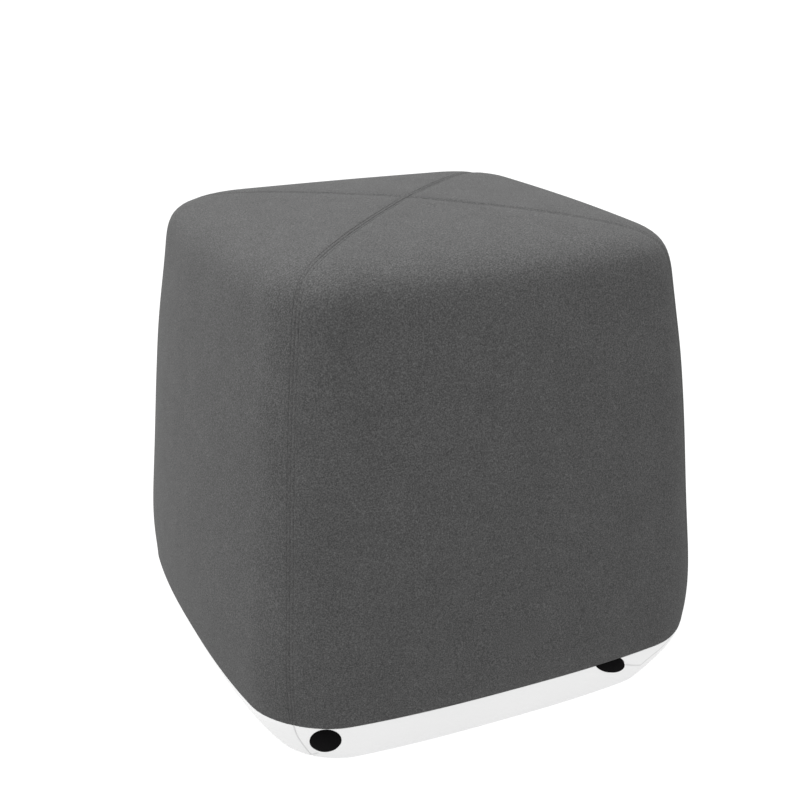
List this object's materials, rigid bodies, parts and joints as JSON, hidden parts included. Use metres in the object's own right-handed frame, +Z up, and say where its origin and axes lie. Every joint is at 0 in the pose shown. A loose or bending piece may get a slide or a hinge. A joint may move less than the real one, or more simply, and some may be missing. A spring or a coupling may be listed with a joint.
{
  "type": "upholstered cube pouf stool",
  "caption": "Soft cube pouf stool with a crowned top, bowed sides sewn along the corners and across the top, a white base drawn in at the floor, and black plug feet.",
  "frame": {"origin": "on the floor under the middle of the pouf, at the bottom centre of its bounding box", "axes": "+Z up; the wide side in the picture faces -Y and the narrow one faces -X; +X is to the right seen from the front"},
  "size_m": [0.448, 0.448, 0.434],
  "materials": {
    "cloth": "matt mottled grey felted wool",
    "shell": "matt white",
    "foot": "matt black"
  },
  "bodies": {
    "root": {"cover": "cloth", "base": "shell", "foot_front_left": "foot", "foot_front_right": "foot", "foot_back_left": "foot", "foot_back_right": "foot"}
  },
  "joints": []
}
